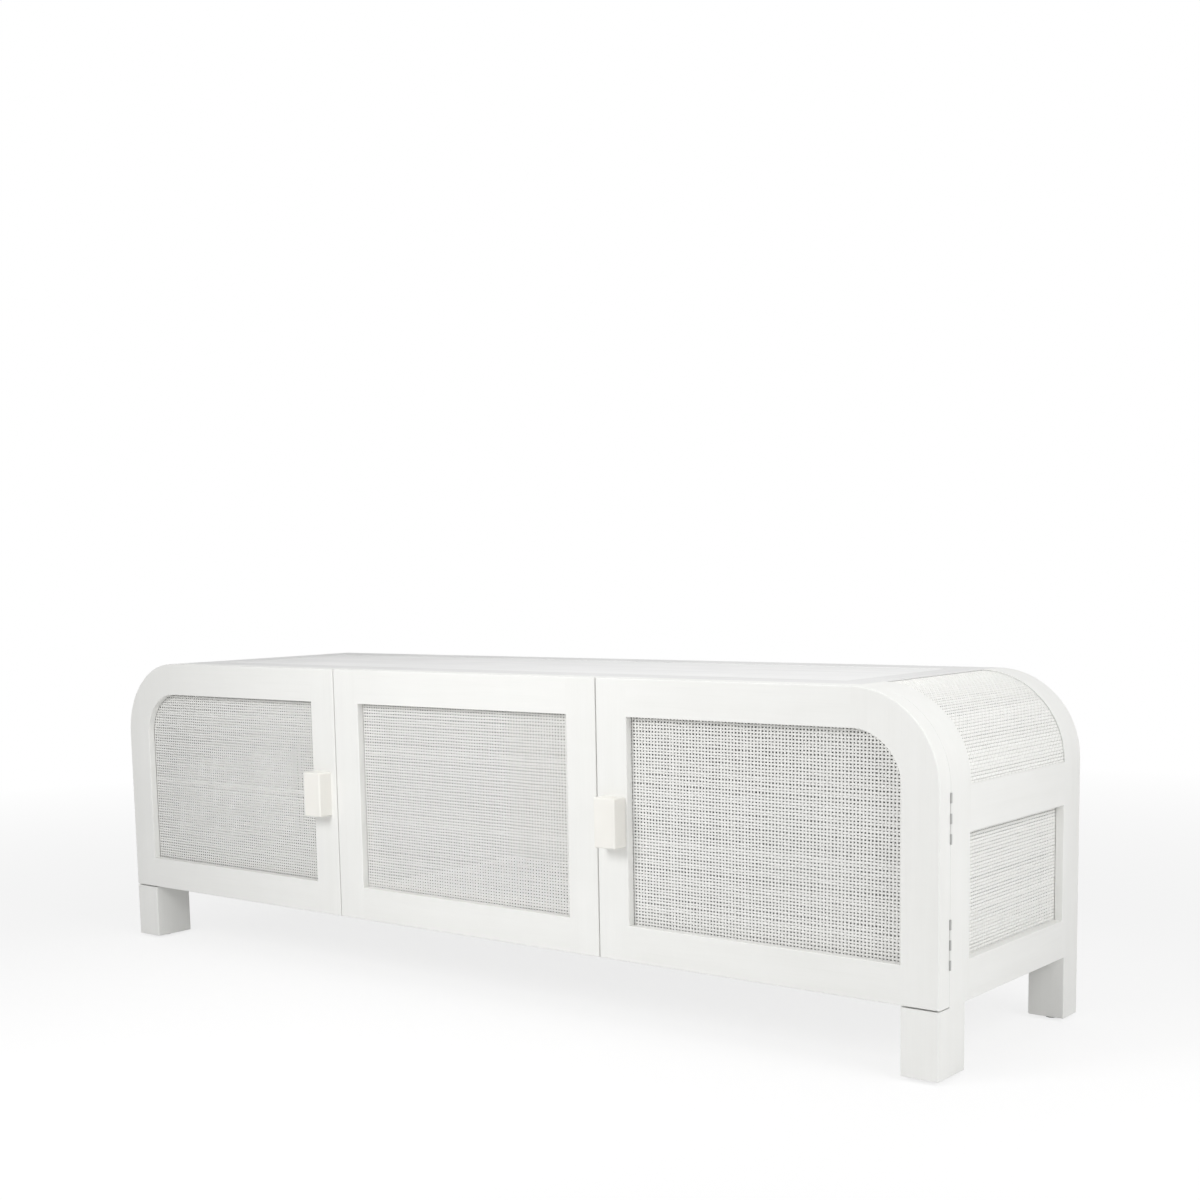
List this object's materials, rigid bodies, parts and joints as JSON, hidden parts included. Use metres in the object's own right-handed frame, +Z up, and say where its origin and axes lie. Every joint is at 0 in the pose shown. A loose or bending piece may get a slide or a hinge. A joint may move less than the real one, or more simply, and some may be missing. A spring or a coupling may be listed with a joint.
{
  "type": "tv unit",
  "caption": "Long low TV unit with rounded shoulders, open-weave cane panels in painted frames, hinged end doors, a drop-down centre flap and block legs.",
  "frame": {"origin": "on the floor, under the middle of the whole unit with its handles", "axes": "+X to the right along the length, -Y out of the front, +Z up"},
  "size_m": [1.804, 0.498, 0.555],
  "materials": {
    "white_paint": "satin white paint on timber",
    "top_rail_paint": "thin pale grey paint on timber",
    "grained_top": "thin white paint over open grain",
    "inner_panel": "matt grey stain on board",
    "woven_cane": "white painted open-weave cane",
    "ivory_handle": "smooth ivory lacquer",
    "white_hinge_metal": "white painted steel",
    "grey_hinge_steel": "dull grey steel",
    "catch_plastic": "moulded white plastic",
    "black_glide": "black moulded plastic"
  },
  "bodies": {
    "carcass": {"back_panel": "inner_panel", "base_panel": "white_paint", "base_rails": "white_paint", "curved_cane_left": "woven_cane", "curved_cane_right": "woven_cane", "dividers": "inner_panel", "end_bottom_rail_left": "white_paint", "end_bottom_rail_right": "white_paint", "end_cane_beads": "white_paint", "end_cane_left": "woven_cane", "end_cane_right": "woven_cane", "end_mid_rail_left": "white_paint", "end_mid_rail_right": "white_paint", "foot_glides": "black_glide", "frame_hinge_leaves": "grey_hinge_steel", "frame_hinge_screws": "grey_hinge_steel", "hinge_pins": "grey_hinge_steel", "leg_front_left": "white_paint", "leg_front_right": "white_paint", "leg_rear_left": "white_paint", "leg_rear_right": "white_paint", "magnet_catches": "catch_plastic", "push_latch_body": "catch_plastic", "top_cross_rail_left": "top_rail_paint", "top_cross_rail_right": "top_rail_paint", "top_front_rail": "top_rail_paint", "top_panel": "grained_top", "top_rear_rail": "top_rail_paint", "upright_front_left": "white_paint", "upright_front_right": "white_paint", "upright_rear_left": "white_paint", "upright_rear_right": "white_paint"},
    "right_door": {"right_door_bottom_rail": "white_paint", "right_door_cane": "woven_cane", "right_door_cane_beads": "inner_panel", "right_door_handle": "ivory_handle", "right_door_hinge_leaves": "white_hinge_metal", "right_door_hinge_screws": "white_hinge_metal", "right_door_hinge_stile": "white_paint", "right_door_lock_stile": "white_paint", "right_door_strike": "white_hinge_metal", "right_door_top_rail": "white_paint"},
    "left_door": {"left_door_bottom_rail": "white_paint", "left_door_cane": "woven_cane", "left_door_cane_beads": "inner_panel", "left_door_handle": "ivory_handle", "left_door_hinge_leaves": "white_hinge_metal", "left_door_hinge_screws": "white_hinge_metal", "left_door_hinge_stile": "white_paint", "left_door_lock_stile": "white_paint", "left_door_strike": "white_hinge_metal", "left_door_top_rail": "white_paint"},
    "flap": {"flap_cane": "woven_cane", "flap_cane_beads": "inner_panel", "flap_hinge_leaves": "white_hinge_metal", "flap_hinge_screws": "white_hinge_metal", "flap_rails": "white_paint", "flap_stiles": "white_paint", "flap_strike": "white_hinge_metal"},
    "plunger": {"latch_plunger": "catch_plastic"}
  },
  "joints": [
    {"name": "right_door_swing", "type": "hinge", "parent": "carcass", "child": "right_door", "pos_m": [0.9, -0.1888, 0.3], "axis": [0, 0, 1], "range_deg": [0, 165]},
    {"name": "left_door_swing", "type": "hinge", "parent": "carcass", "child": "left_door", "pos_m": [-0.9, -0.1888, 0.3], "axis": [0, 0, -1], "range_deg": [0, 165]},
    {"name": "flap_drop", "type": "hinge", "parent": "carcass", "child": "flap", "pos_m": [0, -0.1896, 0.107], "axis": [1, 0, 0], "range_deg": [0, 90]},
    {"name": "latch_push", "type": "slide", "parent": "carcass", "child": "plunger", "axis": [0, 1, 0], "range_m": [0, 0.0015], "stiffness_N_per_m": 400}
  ]
}
